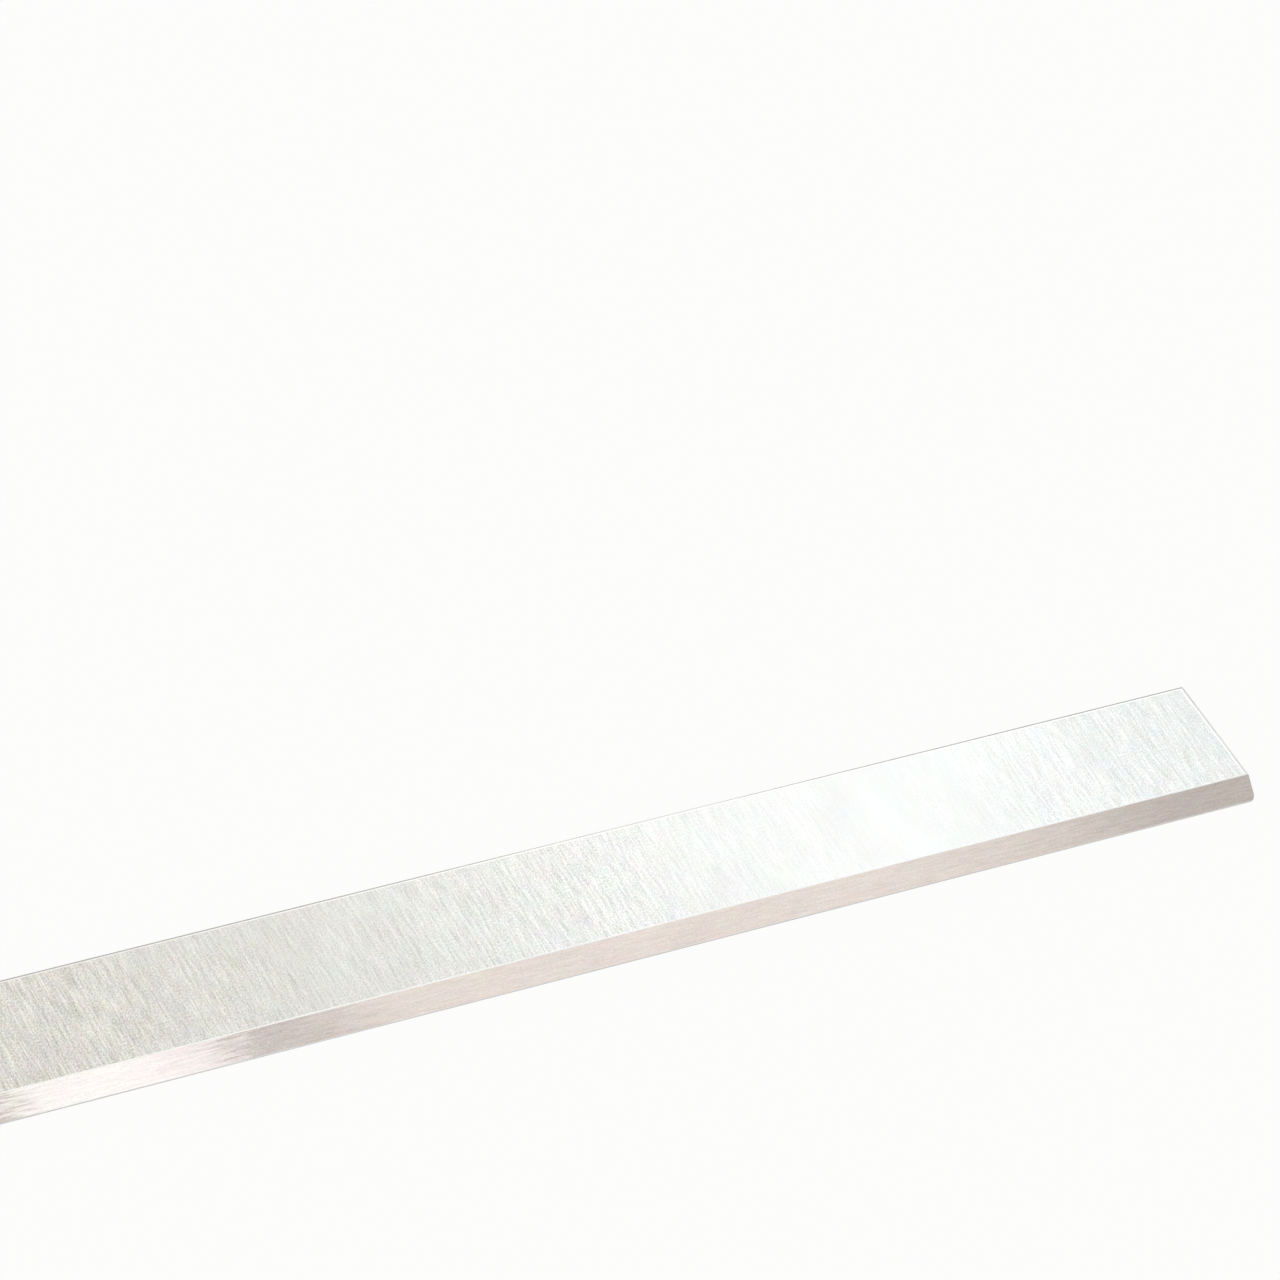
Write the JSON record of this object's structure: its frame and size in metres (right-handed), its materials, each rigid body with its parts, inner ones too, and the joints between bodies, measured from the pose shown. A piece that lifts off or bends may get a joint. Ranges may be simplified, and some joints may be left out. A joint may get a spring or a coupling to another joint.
{
  "type": "planer knife",
  "caption": "Long flat ground steel planer knife with one bevelled and honed cutting edge, lying on its wide face.",
  "frame": {"origin": "under the middle of the knife's box, on the plane of its wide face", "axes": "+X along the knife, -Y towards the cutting edge, +Z out of the narrower face that the bevel falls from"},
  "size_m": [0.26, 0.025, 0.003],
  "materials": {
    "ground_steel": "cross-ground faces and a lengthwise-ground bevel, bright and unpolished"
  },
  "bodies": {
    "root": {"planer_knife": "ground_steel"}
  },
  "joints": []
}
